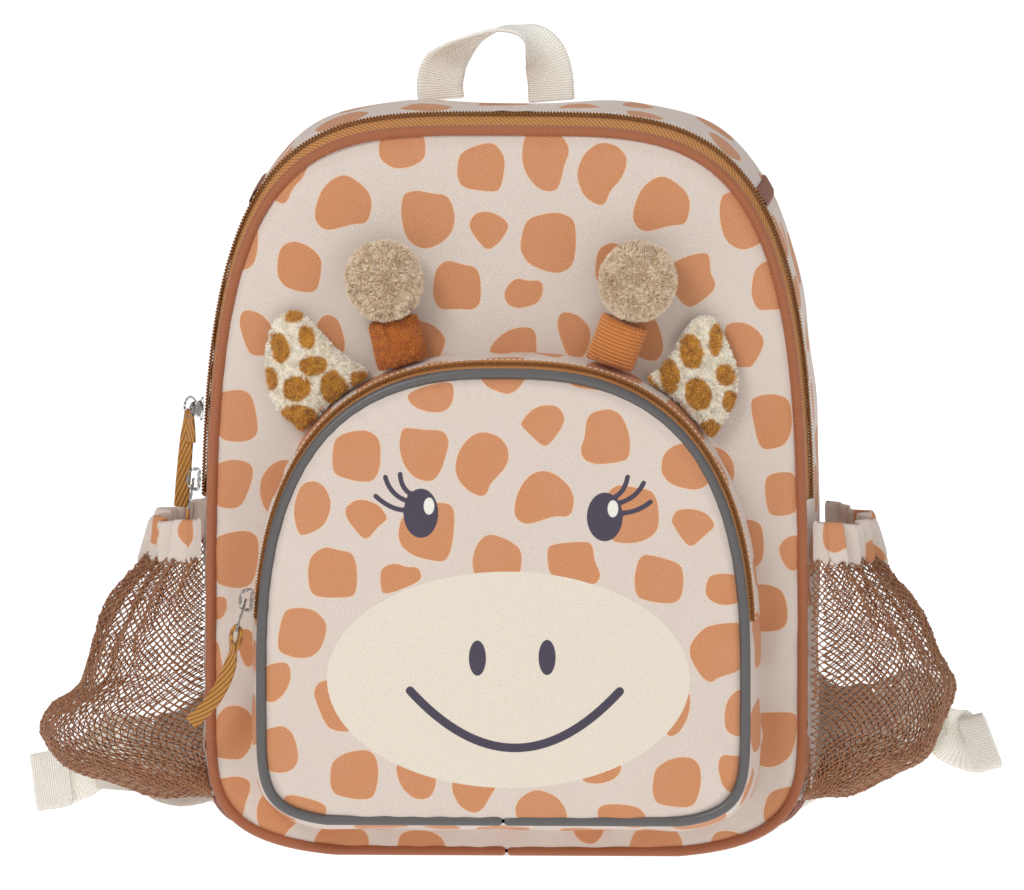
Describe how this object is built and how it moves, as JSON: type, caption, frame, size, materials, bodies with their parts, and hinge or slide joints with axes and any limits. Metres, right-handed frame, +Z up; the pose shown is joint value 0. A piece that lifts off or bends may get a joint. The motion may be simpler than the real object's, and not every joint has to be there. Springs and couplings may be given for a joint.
{
  "type": "child's animal backpack",
  "caption": "Small child's backpack with a domed zipped front pocket, plush ears and horns, net side pockets, padded shoulder straps and a grab handle.",
  "frame": {"origin": "middle of the flat base, at the height of the surface that the bag stands on", "axes": "+Z up, -Y towards the front with the pocket, +X to the right as seen from the front"},
  "size_m": [0.4237, 0.1661, 0.3537],
  "materials": {
    "printed_fabric": "woven twill, printed spots",
    "terracotta_piping": "ribbed tape over a cord",
    "grey_piping": "smooth coated tape over a cord",
    "zip_tape": "woven tape",
    "zip_coil": "nylon coil",
    "seam_tape": "woven tape",
    "padded_back": "plain padded cloth",
    "horn_knit": "knit and terry",
    "knob_plush": "long plush",
    "ear_plush": "short spotted plush",
    "net_twine": "knitted net",
    "cream_webbing": "woven webbing",
    "ochre_webbing": "ribbed webbing",
    "nickel": "polished",
    "lock_plastic": "moulded"
  },
  "bodies": {
    "root": {"front_panel": "printed_fabric", "front_piping": "terracotta_piping", "main_zip_tape": "zip_tape", "main_zip_coil": "zip_coil", "gusset_upper": "printed_fabric", "gusset_lower": "printed_fabric", "back_panel": "padded_back", "band_left": "seam_tape", "band_right": "seam_tape", "main_slider": "nickel", "main_ring": "nickel", "main_puller": "ochre_webbing", "low_slider": "nickel", "low_tab": "nickel", "low_puller": "ochre_webbing", "pocket_face": "printed_fabric", "pocket_piping": "grey_piping", "pocket_zip_tape": "zip_tape", "pocket_zip_coil": "zip_coil", "pocket_gusset_lower": "printed_fabric", "pocket_gusset_upper": "printed_fabric", "pocket_slider": "nickel", "pocket_tab": "nickel", "pocket_puller": "ochre_webbing", "horn_stem_left": "horn_knit", "horn_stem_right": "horn_knit", "horn_knob_left": "knob_plush", "horn_knob_right": "knob_plush", "ear_left": "ear_plush", "ear_right": "ear_plush", "net_left": "net_twine", "net_right": "net_twine", "net_hem_left": "printed_fabric", "net_hem_right": "printed_fabric", "net_binding_left": "seam_tape", "net_binding_right": "seam_tape", "handle": "cream_webbing", "strap_left": "printed_fabric", "strap_right": "printed_fabric", "ladder_lock_left": "lock_plastic", "ladder_lock_right": "lock_plastic", "webbing_left": "cream_webbing", "webbing_right": "cream_webbing"}
  },
  "joints": []
}
